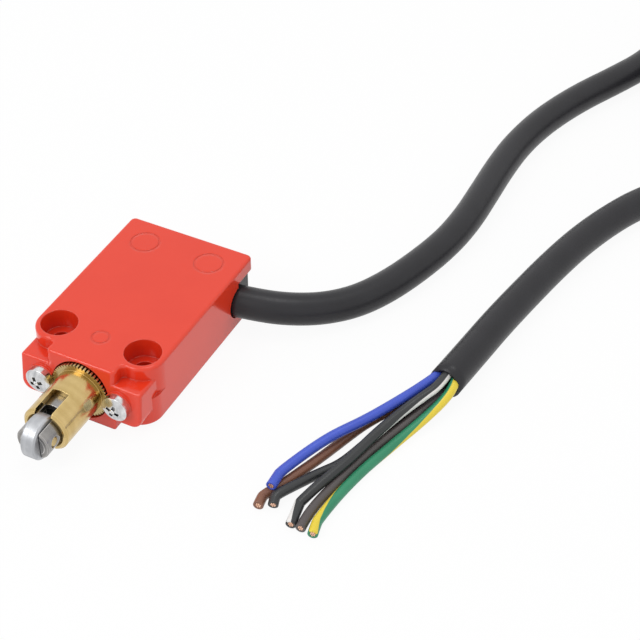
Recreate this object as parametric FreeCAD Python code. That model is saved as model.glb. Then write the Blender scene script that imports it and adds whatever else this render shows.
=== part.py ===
import FreeCAD, Part
import math
import os

V = FreeCAD.Vector
X_AXIS = V(1, 0, 0)
Y_AXIS = V(0, 1, 0)
Z_AXIS = V(0, 0, 1)

# Frame, in millimetres: origin midway between the fixing holes on the mounting face,
# X across the switch, Y from the roller to the rear, Z up from the mounting face.

# Housing
WIDTH = 30.0
THICK = 14.4
FRONT_Y = -9.5
REAR_Y = 37.0
AXIS_Z = 7.1
FRONT_LEAN = 1.5
TOP_LEDGE = 3.2
BASE_LEDGE = 2.3
NECK_HALF_TOP = 8.1
NECK_HALF_BASE = 8.5
EAR_SHIFT_BASE = 2.0
HOLLOW_R = 1.0
CORNER_R = 1.2
NECK_CORNER_R = 1.1
TOP_EDGE_R = 0.65
BASE_EDGE_R = 0.9
BLOCK_HALF = 14.3
BLOCK_LENGTH = 14.0
BLOCK_TOP_R = 0.7
BLOCK_BASE_R = 2.4
BLOCK_FRONT_R = 0.6

# Fixing holes
FIXING_SPACING = 20.0
FIXING_R = 2.1
COUNTERBORE_R = 3.9
COUNTERBORE_DEPTH = 4.5

# Moulding rings on the top face
RING_GROOVE = 0.35
RING_DEPTH = 0.08
RING_R = 3.1
SMALL_RING_R = 1.8

# Fits
RUNNING = 0.05
LOOSE = 0.1
SEAT = 0.02
TOUCH = 1e-4

# Turret
TURRET_R = 5.2
TURRET_MOUTH_Y = -21.7
TURRET_RIM_CHAMFER = 0.5
FLANGE_R = 6.55
FLANGE_THICK = 2.0
TOOTH_COUNT = 50
TOOTH_DEPTH = 0.55
TAIL_R = 5.0
TAIL_END_Y = -1.0
SLOT_WIDTH = 3.8
SLOT_LENGTH = 6.6
SEAL_THICK = 0.4
MOUTH_CHAMFER = 0.4
RECESS_CLEARANCE = 0.2
CHAMBER_CLEARANCE = 0.25

# Plunger and roller
PLUNGER_R = 3.75
PLUNGER_FRONT_Y = -26.0
PLUNGER_REAR_Y = -4.0
PLUNGER_CHAMFER = 0.25
TRAVEL = 5.0
STEM_R = 1.6
STEM_END_Y = 9.2
FORK_WIDTH = 3.6
FORK_LENGTH = 7.8
ROLLER_R = 4.6
ROLLER_WIDTH = 3.3
ROLLER_CHAMFER = 0.35
ROLLER_Y = -23.5
AXLE_R = 1.0
AXLE_LENGTH = 7.0
AXLE_CHAMFER = 0.15
AXLE_SINK_R = 1.45
AXLE_SINK = 0.45
PIN_R = 1.25
PIN_Y = -13.3
PIN_ANGLE = 20.0
PIN_TIP_R = 3.1
O_RING_Y = -8.0
O_RING_SECTION_R = 0.32

# Turret screws
SCREW_SPACING = 18.2
SCREW_PAD_R = 3.1
SCREW_PAD_SINK = 0.4
SCREW_HEAD_R = 2.9
SCREW_HEAD_HEIGHT = 2.3
SCREW_RIM_HEIGHT = 1.5
SCREW_SHANK_R = 1.45
SCREW_LENGTH = 6.0
CROWN_REACH = 0.62
CROWN_DROP = 0.3
SCREW_CROSS_LENGTH = 3.0
SCREW_CROSS_WIDTH = 0.8
SCREW_CROSS_DEPTH = 1.1
SCREW_CROSS_TURN = 20.0

# Springs
PLUNGER_SPRING_R = 2.85
PLUNGER_WIRE_R = 0.35
PLUNGER_SPRING_TURNS = 5
CARRIER_SPRING_R = 1.9
CARRIER_WIRE_R = 0.25
CARRIER_SPRING_TURNS = 5

# Contact chamber
SPRING_WALL_Y = 5.6
CAVITY_FRONT_Y = 7.0
CAVITY_HALF = 12.0
REAR_WALL = 2.0
TOP_WALL = 2.2
CAVITY_CORNER_R = 1.5
COVER_SINK = 0.2
COVER_THICK = 1.8
COVER_LAND = 1.7
COVER_GAP = 0.1
SEAL_WIDTH = 0.9
SEAL_HEIGHT = 0.6
BOSS_R = 2.4
COVER_SCREW_R = 1.0
COVER_SCREW_HEAD_R = 1.9
COVER_SCREW_HEAD = 0.9
COVER_SCREW_LENGTH = 6.0
COVER_CROSS_LENGTH = 2.0
COVER_CROSS_WIDTH = 0.5
COVER_CROSS_DEPTH = 0.6
COVER_SCREWS = ((-9.5, 9.6), (9.5, 9.6), (-7.9, 30.4), (7.9, 30.4))

# Contact base and carrier
BASE_HALF = 6.9
BASE_REAR_Y = 27.4
BASE_GAP = 0.4
BASE_REAR_WALL = 1.2
CARRIER_HALF = 3.2
CARRIER_LENGTH = 8.0
CARRIER_LOW_Z = 3.6
CARRIER_TOP_Z = 10.4
BRIDGE_HALF = 5.6
BRIDGE_THICK = 0.6
BRIDGE_HEIGHT = 2.4
CLOSED_BRIDGE_Y = 13.1
OPEN_BRIDGE_Y = 15.4
CONTACT_GAP = 0.05
BLADE_INNER = 4.2
BLADE_OUTER = 10.2
BLADE_THICK = 0.6
WINDOW_MARGIN = 0.4

# Cable outlet
OUTLET_Y = 30.4
OUTLET_Z = 6.4
OUTLET_R = 3.75
OUTLET_TOP_Z = 11.2
OUTLET_LOW_Z = 2.7
RELIEF_INNER_X = 10.8
RELIEF_SINK = 0.9

# Cable
CABLE_R = 3.6
CORE_R = 1.0
CORE_RING_R = 2.1
LEAD_OUT = (
    (13.6, 30.3, 6.4), (20.2, 31.7, 6.0), (26.4, 34.9, 5.1), (31.6, 39.2, 4.2), (36.4, 45.0, 3.7),
    (40.4, 53.4, 3.6), (42.8, 65.5, 3.6), (44.6, 81.0, 3.6), (46.8, 98.5, 3.6), (49.4, 116.5, 3.6),
    (53.8, 133.5, 3.7), (59.4, 147.6, 4.0), (66.0, 158.8, 4.4), (76.0, 166.4, 4.5),
)
LEAD_IN = (
    (123.2, 141.5, 11.7), (113.4, 135.0, 11.7), (103.6, 128.4, 9.6), (94.8, 121.8, 6.2), (87.0, 115.0, 4.2),
    (80.8, 107.4, 3.6), (76.6, 96.8, 3.6), (73.2, 84.5, 3.6), (70.2, 71.0, 3.6), (67.6, 57.0, 3.6),
    (65.4, 43.0, 3.6), (63.7, 30.0, 3.6),
)
COIL_CENTRE = (102.0, 173.0)
COIL_OUTER_R = 41.8
COIL_INNER_R = 21.0
COIL_HEIGHT = 14.4
COIL_ROUND_R = 3.4
TIE_THICK = 0.9
TIE_WIDTH = 4.8

# Conductors: turn about the sheath's end, then the points after it
CONDUCTORS = {
    "conductor_blue": (150, (
        (60.2, 25.2, 4.2), (56.6, 20.0, 3.3), (52.4, 15.0, 2.2), (48.6, 10.2, 1.2), (45.9, 4.4, 1.0),
        (44.2, -1.6, 1.0), (43.4, -5.6, 1.0), (44.0, -9.8, 1.0))),
    "conductor_black_white": (90, (
        (62.8, 24.6, 4.7), (61.0, 17.8, 3.4), (58.6, 10.2, 3.1), (56.4, 2.6, 3.0), (54.2, -4.4, 2.2),
        (52.4, -10.4, 1.2), (52.5, -17.0, 1.0))),
    "conductor_green_yellow": (30, (
        (66.3, 24.4, 3.8), (65.4, 18.2, 2.1), (62.8, 11.0, 1.1), (60.2, 3.6, 1.0), (58.2, -3.6, 1.0),
        (57.2, -10.4, 1.0), (57.3, -17.2, 1.0))),
    "conductor_grey": (-30, (
        (64.8, 24.2, 1.6), (63.1, 17.6, 1.0), (60.4, 10.4, 1.0), (57.5, 3.0, 1.0), (55.9, -4.4, 1.0),
        (54.9, -11.0, 1.0), (54.6, -17.4, 1.0))),
    "conductor_black": (-90, (
        (62.6, 24.0, 1.0), (60.4, 16.5, 1.0), (57.6, 9.0, 1.0), (54.6, 1.6, 1.0), (51.6, -5.2, 1.4),
        (49.2, -10.4, 2.4), (47.6, -14.6, 2.6))),
    "conductor_brown": (-150, (
        (60.6, 24.6, 1.7), (58.0, 18.8, 1.0), (54.8, 12.2, 1.0), (51.8, 5.2, 1.0), (48.9, -1.8, 1.0),
        (46.6, -8.2, 1.0), (45.3, -12.0, 1.0), (44.4, -15.6, 1.0))),
}

# Sizes that follow from the ones above
HALF = WIDTH / 2
FIXING_X = FIXING_SPACING / 2
SCREW_X = SCREW_SPACING / 2
SEAT_Y = FRONT_Y + SCREW_PAD_SINK
FLANGE_FRONT_Y = SEAT_Y + RUNNING
FLANGE_REAR_Y = FLANGE_FRONT_Y + FLANGE_THICK
RECESS_FLOOR_Y = FLANGE_REAR_Y + SEAL_THICK
RECESS_R = FLANGE_R + RECESS_CLEARANCE
BORE_R = PLUNGER_R + RUNNING
CHAMBER_R = PLUNGER_R + CHAMBER_CLEARANCE
COVER_TOP_Z = COVER_SINK + COVER_THICK
CAVITY_REAR_Y = REAR_Y - REAR_WALL
CAVITY_TOP_Z = THICK - TOP_WALL
SEAL_TOP_Z = COVER_TOP_Z + SEAL_HEIGHT
BASE_FRONT_Y = CAVITY_FRONT_Y + BASE_GAP
BASE_LOW_Z = COVER_TOP_Z + BASE_GAP
BASE_TOP_Z = CAVITY_TOP_Z - BASE_GAP
CHANNEL_END_Y = BASE_REAR_Y - BASE_REAR_WALL
CARRIER_REAR_Y = STEM_END_Y + CARRIER_LENGTH
CLOSED_BLADE_Y = CLOSED_BRIDGE_Y - BRIDGE_THICK / 2 - CONTACT_GAP - BLADE_THICK
OPEN_BLADE_Y = OPEN_BRIDGE_Y + BRIDGE_THICK / 2 + TRAVEL + CONTACT_GAP
O_RING_R = BORE_R - SEAT - O_RING_SECTION_R


def box(x_range, y_range, z_range):
    """Block between three pairs of limits."""
    corner = V(x_range[0], y_range[0], z_range[0])
    return Part.makeBox(x_range[1] - x_range[0], y_range[1] - y_range[0], z_range[1] - z_range[0], corner)


def post(x, y, radius, z_low, z_high):
    """Upright cylinder."""
    return Part.makeCylinder(radius, z_high - z_low, V(x, y, z_low), Z_AXIS)


def bar(x, radius, y_low, y_high):
    """Cylinder along Y at the height of the plunger's axis."""
    return Part.makeCylinder(radius, y_high - y_low, V(x, y_low, AXIS_Z), Y_AXIS)


def turned(profile, x=0.0):
    """Solid turned about a line along Y from (radius, y) corners."""
    corners = [V(x + radius, y, AXIS_Z) for radius, y in profile]
    face = Part.Face(Part.makePolygon(corners + corners[:1]))
    return face.revolve(V(x, 0, AXIS_Z), Y_AXIS, 360)


def mirrored(shape):
    """Copy on the other side of the middle plane."""
    return shape.mirror(V(0, 0, 0), X_AXIS)


def both_sides(shape):
    """The shape and its mirror image, as separate solids."""
    return [shape, mirrored(shape)]


def line(start, end):
    """Straight edge."""
    return Part.LineSegment(start, end).toShape()


def arc_about(centre, radius, start_deg, end_deg):
    """Flat arc at z = 0."""
    points = []
    for share in (0.0, 0.5, 1.0):
        angle = math.radians(start_deg + (end_deg - start_deg) * share)
        points.append(centre + V(math.cos(angle), math.sin(angle), 0) * radius)
    return Part.Arc(*points).toShape()


def edges_at_height(shape, z):
    """Edges that lie wholly in one level plane."""
    return [edge for edge in shape.Edges
            if abs(edge.BoundBox.ZMin - z) < TOUCH and abs(edge.BoundBox.ZMax - z) < TOUCH]


def lean_back(shape):
    """Shape without what lies in front of the leaning front face."""
    top_z = THICK + 1
    top_y = FRONT_Y + FRONT_LEAN * (top_z - BASE_LEDGE) / (THICK - BASE_LEDGE)
    ahead_y = FRONT_Y - WIDTH
    corners = [(FRONT_Y, BASE_LEDGE), (ahead_y, BASE_LEDGE), (ahead_y, top_z), (top_y, top_z)]
    outline = [V(-WIDTH, y, z) for y, z in corners + corners[:1]]
    return shape.cut(Part.Face(Part.makePolygon(outline)).extrude(V(2 * WIDTH, 0, 0)))


def layer_outline(neck_half, ear_y):
    """Right half of a layer's plan: rear corner, round ear, hollow corner and the neck."""
    ear = V(FIXING_X, ear_y, 0)
    ear_r = HALF - FIXING_X
    hollow_x = neck_half + HOLLOW_R
    drop = math.sqrt((ear_r + HOLLOW_R) ** 2 - (FIXING_X - hollow_x) ** 2)
    hollow = V(hollow_x, ear_y - drop, 0)
    meet = math.degrees(math.atan2(hollow.y - ear.y, hollow.x - ear.x))
    rear = V(HALF - CORNER_R, REAR_Y - CORNER_R, 0)
    return [
        line(V(0, REAR_Y, 0), V(rear.x, REAR_Y, 0)),
        arc_about(rear, CORNER_R, 90, 0),
        line(V(HALF, rear.y, 0), V(HALF, ear_y, 0)),
        arc_about(ear, ear_r, 0, meet),
        arc_about(hollow, HOLLOW_R, meet + 180, 180),
        line(V(neck_half, hollow.y, 0), V(neck_half, FRONT_Y, 0)),
        line(V(neck_half, FRONT_Y, 0), V(0, FRONT_Y, 0)),
    ]


def plate(half_outline, z_low, z_high):
    """Upright solid on a plan given by its right half."""
    outline = Part.Wire(Part.__sortEdges__(half_outline + [mirrored(edge) for edge in half_outline]))
    solid = Part.Face(outline).extrude(V(0, 0, z_high - z_low))
    solid.translate(V(0, 0, z_low))
    return solid


def front_face(solid):
    """Foremost face of a solid."""
    return min(solid.Faces, key=lambda face: face.CenterOfMass.y)


def upper_layer():
    """Upper half of the housing, all of its top edge rounded."""
    solid = lean_back(plate(layer_outline(NECK_HALF_TOP, 0.0), AXIS_Z, THICK))
    corners = [edge for edge in front_face(solid).Edges if edge.BoundBox.XLength < TOUCH]
    solid = solid.makeFillet(NECK_CORNER_R, corners)
    return solid.makeFillet(TOP_EDGE_R, edges_at_height(solid, THICK))


def lower_layer():
    """Lower half of the housing, rounded below except along the neck's front."""
    solid = plate(layer_outline(NECK_HALF_BASE, -EAR_SHIFT_BASE), 0.0, AXIS_Z)
    rim = [edge for edge in edges_at_height(solid, 0.0) if edge.BoundBox.YMax > FRONT_Y + TOUCH]
    return lean_back(solid.makeFillet(BASE_EDGE_R, rim))


def front_block():
    """Cross block between the two layers, drawn in front view and rounded along its front."""
    low, high = BASE_LEDGE, THICK - TOP_LEDGE
    block = lean_back(box((-BLOCK_HALF, BLOCK_HALF), (FRONT_Y, FRONT_Y + BLOCK_LENGTH), (low, high)))
    for height, radius in ((high, BLOCK_TOP_R), (low, BLOCK_BASE_R)):
        along = [edge for edge in edges_at_height(block, height) if edge.BoundBox.XLength < TOUCH]
        block = block.makeFillet(radius, along)
    return block.makeFillet(BLOCK_FRONT_R, front_face(block).Edges)


def rounded_block(half, y_range, z_range, radius):
    """Block about the middle plane with rounded upright edges."""
    block = box((-half, half), y_range, z_range)
    upright = [edge for edge in block.Edges
               if edge.BoundBox.XLength < TOUCH and edge.BoundBox.YLength < TOUCH]
    return block.makeFillet(radius, upright)


def cover_block(gap, z_range):
    """Shape of the cover plate, made smaller by a gap."""
    limits = (CAVITY_FRONT_Y - COVER_LAND + gap, CAVITY_REAR_Y + COVER_LAND / 2 - gap)
    return rounded_block(CAVITY_HALF + COVER_LAND - gap, limits, z_range, CAVITY_CORNER_R)


def seal_block(inset, z_range):
    """Outline of the cover seal, or of the opening inside it."""
    limits = (CAVITY_FRONT_Y - SEAL_WIDTH + inset, CAVITY_REAR_Y + COVER_LAND / 4 - inset)
    return rounded_block(CAVITY_HALF + SEAL_WIDTH - inset, limits, z_range, CAVITY_CORNER_R)


def outlet_space(inner_x, outer_x, rear_y, shrink):
    """Space round the cable outlet: round in front of the cable, open to the rear corner."""
    radius = OUTLET_R - shrink
    nose = Part.makeCylinder(radius, outer_x - inner_x, V(inner_x, OUTLET_Y, OUTLET_Z), X_AXIS)
    corner = box((inner_x, outer_x), (OUTLET_Y, rear_y), (OUTLET_LOW_Z + shrink, OUTLET_TOP_Z - shrink))
    return nose.fuse(corner).removeSplitter()


def groove_ring(x, y, radius):
    """Shallow ring in the top face."""
    outer = post(x, y, radius + RING_GROOVE / 2, THICK - RING_DEPTH, THICK + 1)
    return outer.cut(post(x, y, radius - RING_GROOVE / 2, THICK - RING_DEPTH, THICK + 1))


def make_housing():
    """Die-cast body with its bores, contact chamber, outlet and moulding rings."""
    pads = both_sides(bar(SCREW_X, SCREW_PAD_R, SEAT_Y, SEAT_Y + SCREW_LENGTH))
    body = upper_layer().fuse([lower_layer(), front_block()] + pads).removeSplitter()
    cavity = rounded_block(CAVITY_HALF, (CAVITY_FRONT_Y, CAVITY_REAR_Y), (0.0, CAVITY_TOP_Z), CAVITY_CORNER_R)
    bosses = [post(x, y, BOSS_R, COVER_TOP_Z, CAVITY_TOP_Z) for x, y in COVER_SCREWS]
    cuts = [cavity.cut(Part.makeCompound(bosses)), cover_block(0.0, (-1.0, COVER_TOP_Z)),
            seal_block(0.0, (0.0, SEAL_TOP_Z)),
            bar(0, RECESS_R, FRONT_Y - 1, RECESS_FLOOR_Y),
            bar(0, TAIL_R + RUNNING, FRONT_Y, TAIL_END_Y + LOOSE),
            bar(0, CHAMBER_R, FRONT_Y, SPRING_WALL_Y),
            bar(0, STEM_R + LOOSE, FRONT_Y, CAVITY_FRONT_Y + 1),
            outlet_space(RELIEF_INNER_X, HALF + 1, REAR_Y + 1, 0.0)]
    for side in (-1, 1):
        cuts += [post(side * FIXING_X, 0, FIXING_R, -1, THICK),
                 post(side * FIXING_X, 0, COUNTERBORE_R, THICK - COUNTERBORE_DEPTH, THICK + 1),
                 bar(side * SCREW_X, SCREW_PAD_R, FRONT_Y - 1, SEAT_Y),
                 bar(side * SCREW_X, SCREW_SHANK_R + RUNNING, FRONT_Y - 1, SEAT_Y + SCREW_LENGTH + LOOSE),
                 groove_ring(side * COVER_SCREWS[3][0], COVER_SCREWS[3][1], RING_R)]
    cuts += [post(x, y, COVER_SCREW_R + RUNNING, 0, COVER_SINK + COVER_SCREW_LENGTH + LOOSE)
             for x, y in COVER_SCREWS]
    cuts.append(groove_ring(0, 0, SMALL_RING_R))
    for cut in cuts:
        body = body.cut(cut)
    return body


def make_rear_cover():
    """Plate that closes the contact chamber from the mounting side."""
    plate = cover_block(COVER_GAP, (COVER_SINK, COVER_TOP_Z))
    for x, y in COVER_SCREWS:
        plate = plate.cut(cover_screw(x, y, RUNNING))
    return plate


def make_cover_seal():
    """Gasket in the step under the cover."""
    return seal_block(0.0, (COVER_TOP_Z, SEAL_TOP_Z)).cut(seal_block(SEAL_WIDTH, (COVER_TOP_Z, SEAL_TOP_Z)))


def cover_screw(x, y, gap):
    """Countersunk screw, or with a gap the hole for it."""
    shank_r = COVER_SCREW_R + gap
    head = Part.makeCone(COVER_SCREW_HEAD_R + gap, shank_r, COVER_SCREW_HEAD, V(x, y, COVER_SINK), Z_AXIS)
    shank = post(x, y, shank_r, COVER_SINK, COVER_SINK + COVER_SCREW_LENGTH)
    return head.fuse(shank).removeSplitter()


def cross_recess(length, width, depth):
    """Driver cross that goes up from the origin along Z."""
    first = box((-length / 2, length / 2), (-width / 2, width / 2), (0.0, depth))
    second = box((-width / 2, width / 2), (-length / 2, length / 2), (0.0, depth))
    return first.fuse(second).removeSplitter()


def make_cover_screws():
    """Four screws as one group."""
    screws = []
    for x, y in COVER_SCREWS:
        cross = cross_recess(COVER_CROSS_LENGTH, COVER_CROSS_WIDTH, COVER_CROSS_DEPTH)
        cross.translate(V(x, y, COVER_SINK))
        screws.append(cover_screw(x, y, 0.0).cut(cross))
    return Part.makeCompound(screws)


def make_turret():
    """Brass sleeve with toothed flange, bore, cross slot and pin hole."""
    rim_r = TURRET_R - TURRET_RIM_CHAMFER
    mouth_r = BORE_R + MOUTH_CHAMFER
    sleeve = turned([
        (mouth_r, TURRET_MOUTH_Y), (rim_r, TURRET_MOUTH_Y), (TURRET_R, TURRET_MOUTH_Y + TURRET_RIM_CHAMFER),
        (TURRET_R, FLANGE_FRONT_Y), (FLANGE_R, FLANGE_FRONT_Y), (FLANGE_R, FLANGE_REAR_Y),
        (TAIL_R, FLANGE_REAR_Y), (TAIL_R, TAIL_END_Y), (BORE_R, TAIL_END_Y),
        (BORE_R, TURRET_MOUTH_Y + MOUTH_CHAMFER)])
    notch_half = math.pi * FLANGE_R / TOOTH_COUNT / 2
    low, high = FLANGE_FRONT_Y - 1, FLANGE_REAR_Y + 1
    notch = Part.Face(Part.makePolygon([
        V(FLANGE_R - TOOTH_DEPTH, low, 0), V(FLANGE_R + TOOTH_DEPTH, low, -2 * notch_half),
        V(FLANGE_R + TOOTH_DEPTH, low, 2 * notch_half), V(FLANGE_R - TOOTH_DEPTH, low, 0)]))
    notch = notch.extrude(V(0, high - low, 0))
    notch.translate(V(0, 0, AXIS_Z))
    notches = []
    for index in range(TOOTH_COUNT):
        copy = notch.copy()
        copy.rotate(V(0, 0, AXIS_Z), Y_AXIS, 360.0 * index / TOOTH_COUNT)
        notches.append(copy)
    slot = box((-SLOT_WIDTH / 2, SLOT_WIDTH / 2), (TURRET_MOUTH_Y - 1, TURRET_MOUTH_Y + SLOT_LENGTH),
               (AXIS_Z - FLANGE_R, AXIS_Z + FLANGE_R))
    return sleeve.cut(Part.makeCompound(notches)).cut(slot).cut(pin_rod(PIN_R + SEAT, 0.0, TURRET_R + 1))


def pin_rod(radius, inner, outer):
    """Radial cylinder on the guide pin's line, between two distances from the plunger's axis."""
    angle = math.radians(PIN_ANGLE)
    way = V(math.cos(angle), 0, math.sin(angle))
    return Part.makeCylinder(radius, outer - inner, V(0, PIN_Y, AXIS_Z) + way * inner, way)


def make_guide_pin():
    """Pin through the turret's wall, its outer end flush with the wall."""
    rod = pin_rod(PIN_R, PIN_TIP_R, TURRET_R + 1)
    return rod.common(bar(0, TURRET_R, PIN_Y - 2 * PIN_R, PIN_Y + 2 * PIN_R))


def make_turret_seal():
    """Flat ring between flange and housing."""
    return bar(0, FLANGE_R - TOOTH_DEPTH, FLANGE_REAR_Y, RECESS_FLOOR_Y).cut(
        bar(0, TAIL_R + RUNNING, FLANGE_REAR_Y, RECESS_FLOOR_Y))


def make_turret_screws():
    """Two pan-head screws."""
    top_y = SEAT_Y - SCREW_HEAD_HEIGHT
    edge_y = SEAT_Y - SCREW_RIM_HEIGHT
    shoulder = V(SCREW_HEAD_R, 0, 0)
    crown_middle = V(SCREW_HEAD_R * CROWN_REACH, top_y + (edge_y - top_y) * CROWN_DROP, 0)
    crown = Part.Arc(V(0, top_y, 0), crown_middle, shoulder + V(0, edge_y, 0)).toShape()
    end_y = SEAT_Y + SCREW_LENGTH
    corners = [shoulder + V(0, edge_y, 0), shoulder + V(0, SEAT_Y, 0), V(SCREW_SHANK_R, SEAT_Y, 0),
               V(SCREW_SHANK_R, end_y, 0), V(0, end_y, 0), V(0, top_y, 0)]
    sides = [line(first, second) for first, second in zip(corners, corners[1:])]
    face = Part.Face(Part.Wire([crown] + sides))
    cross = cross_recess(SCREW_CROSS_LENGTH, SCREW_CROSS_WIDTH, SCREW_CROSS_DEPTH)
    cross.rotate(V(0, 0, 0), X_AXIS, -90)
    cross.rotate(V(0, 0, 0), Y_AXIS, SCREW_CROSS_TURN)
    cross.translate(V(0, top_y, 0))
    screw = face.revolve(V(0, 0, 0), Y_AXIS, 360).cut(cross)
    screw.translate(V(SCREW_X, 0, AXIS_Z))
    return Part.makeCompound(both_sides(screw))


def make_plunger():
    """Steel rod: fork for the roller, guide groove, O-ring groove and stem."""
    nose_r = PLUNGER_R - PLUNGER_CHAMFER
    floor_r = O_RING_R - O_RING_SECTION_R
    groove = (O_RING_Y - O_RING_SECTION_R - SEAT, O_RING_Y + O_RING_SECTION_R + SEAT)
    rod = turned([
        (0, PLUNGER_FRONT_Y), (nose_r, PLUNGER_FRONT_Y), (PLUNGER_R, PLUNGER_FRONT_Y + PLUNGER_CHAMFER),
        (PLUNGER_R, groove[0]), (floor_r, groove[0]), (floor_r, groove[1]), (PLUNGER_R, groove[1]),
        (PLUNGER_R, PLUNGER_REAR_Y), (STEM_R, PLUNGER_REAR_Y), (STEM_R, STEM_END_Y), (0, STEM_END_Y)])
    fork = box((-FORK_WIDTH / 2, FORK_WIDTH / 2), (PLUNGER_FRONT_Y - 1, PLUNGER_FRONT_Y + FORK_LENGTH),
               (AXIS_Z - PLUNGER_R - 1, AXIS_Z + PLUNGER_R + 1))
    width = 2 * (PIN_R + LOOSE)
    track = box((PIN_TIP_R - LOOSE, PLUNGER_R + 1), (PIN_Y - TRAVEL - width / 2, PIN_Y + width / 2),
                (-width / 2, width / 2))
    track.rotate(V(0, 0, 0), Y_AXIS, -PIN_ANGLE)
    track.translate(V(0, 0, AXIS_Z))
    sink = Part.makeCone(AXLE_R, AXLE_SINK_R, AXLE_SINK, V(PLUNGER_R - AXLE_SINK, ROLLER_Y, AXIS_Z), X_AXIS)
    drilled = rod.cut(fork).cut(track).cut(axle_rod(AXLE_R + SEAT, 3 * PLUNGER_R))
    return drilled.cut(Part.makeCompound(both_sides(sink)))


def axle_rod(radius, length):
    """Cylinder on the roller's axis."""
    return Part.makeCylinder(radius, length, V(-length / 2, ROLLER_Y, AXIS_Z), X_AXIS)


def make_roller_axle():
    """Pin through fork and roller with chamfered ends."""
    rod = axle_rod(AXLE_R, AXLE_LENGTH)
    return rod.makeChamfer(AXLE_CHAMFER, [edge for edge in rod.Edges if edge.BoundBox.XLength < TOUCH])


def make_plunger_o_ring():
    """Sliding seal in the plunger's groove."""
    return Part.makeTorus(O_RING_R, O_RING_SECTION_R, V(0, O_RING_Y, AXIS_Z), Y_AXIS)


def make_roller():
    """Roller with chamfered rims and a bore that runs on the axle."""
    disc = Part.makeCylinder(ROLLER_R, ROLLER_WIDTH, V(-ROLLER_WIDTH / 2, ROLLER_Y, AXIS_Z), X_AXIS)
    rims = [edge for edge in disc.Edges if edge.BoundBox.XLength < TOUCH]
    return disc.makeChamfer(ROLLER_CHAMFER, rims).cut(axle_rod(AXLE_R + RUNNING, 2 * ROLLER_WIDTH))


def make_spring(radius, wire_r, turns, y_low, y_high):
    """Coil spring along Y with its wire inside the two end planes."""
    height = y_high - y_low - 2 * (wire_r + LOOSE)
    helix = Part.makeHelix(height / turns, height, radius)
    section = Part.Wire(Part.makeCircle(wire_r, V(radius, 0, 0), Y_AXIS))
    spring = Part.Wire(helix.Edges).makePipeShell([section], True, True)
    spring.rotate(V(0, 0, 0), X_AXIS, -90)
    spring.translate(V(0, y_low + wire_r + LOOSE, AXIS_Z))
    return spring


def carrier_space(gap, y_range):
    """Cross section of the carrier between two stations, made wider by a gap."""
    return box((-CARRIER_HALF - gap, CARRIER_HALF + gap), y_range, (CARRIER_LOW_Z - gap, CARRIER_TOP_Z + gap))


def blade(y):
    """Fixed contact blade on the right-hand side."""
    return box((BLADE_INNER, BLADE_OUTER), (y, y + BLADE_THICK),
               (AXIS_Z - BRIDGE_HEIGHT / 2, AXIS_Z + BRIDGE_HEIGHT / 2))


def make_fixed_contacts():
    """Four blades: a pair that is closed at rest and a pair that closes at full travel."""
    return Part.makeCompound(both_sides(blade(CLOSED_BLADE_Y)) + both_sides(blade(OPEN_BLADE_Y)))


def make_contact_base():
    """Moulded block with the carrier's channel and the side windows for the contacts."""
    block = box((-BASE_HALF, BASE_HALF), (BASE_FRONT_Y, BASE_REAR_Y), (BASE_LOW_Z, BASE_TOP_Z))
    channel = carrier_space(LOOSE, (BASE_FRONT_Y - 1, CHANNEL_END_Y))
    reach = BRIDGE_HALF + WINDOW_MARGIN
    tall = BRIDGE_HEIGHT / 2 + WINDOW_MARGIN
    window_y = (CLOSED_BLADE_Y - WINDOW_MARGIN, OPEN_BLADE_Y + BLADE_THICK + WINDOW_MARGIN)
    window = box((-reach, reach), window_y, (AXIS_Z - tall, AXIS_Z + tall))
    return block.cut(channel).cut(window).cut(make_fixed_contacts())


def bridge(y):
    """Moving contact bridge across the carrier."""
    return box((-BRIDGE_HALF, BRIDGE_HALF), (y - BRIDGE_THICK / 2, y + BRIDGE_THICK / 2),
               (AXIS_Z - BRIDGE_HEIGHT / 2, AXIS_Z + BRIDGE_HEIGHT / 2))


def make_moving_contacts():
    """The two bridges."""
    return Part.makeCompound([bridge(CLOSED_BRIDGE_Y), bridge(OPEN_BRIDGE_Y)])


def make_contact_carrier():
    """Slider with slots for the bridges and a seat for its spring."""
    block = carrier_space(0.0, (STEM_END_Y, CARRIER_REAR_Y))
    return block.cut(make_moving_contacts())


def make_potting():
    """Resin round the terminals, behind and beside the contact base."""
    front_y = COVER_SCREWS[0][1] + BOSS_R + LOOSE
    inner = CAVITY_HALF - LOOSE
    fill = box((-inner, inner), (front_y, CAVITY_REAR_Y - CAVITY_CORNER_R),
               (BASE_LOW_Z + SEAL_HEIGHT, BASE_TOP_Z))
    base = box((-BASE_HALF, BASE_HALF), (BASE_FRONT_Y, BASE_REAR_Y), (0, THICK))
    bosses = [post(x, y, BOSS_R + LOOSE, 0, THICK) for x, y in COVER_SCREWS]
    outlet = outlet_space(RELIEF_INNER_X, HALF + 1, REAR_Y + 1, 0.0)
    return fill.cut(base).cut(Part.makeCompound(bosses)).cut(outlet).cut(make_fixed_contacts())


def make_strain_relief(lead_out):
    """Block in the rear corner, moulded round the start of the cable."""
    block = outlet_space(RELIEF_INNER_X + SEAT, HALF - RELIEF_SINK, REAR_Y - RELIEF_SINK, SEAT)
    return block.cut(lead_out)


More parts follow.
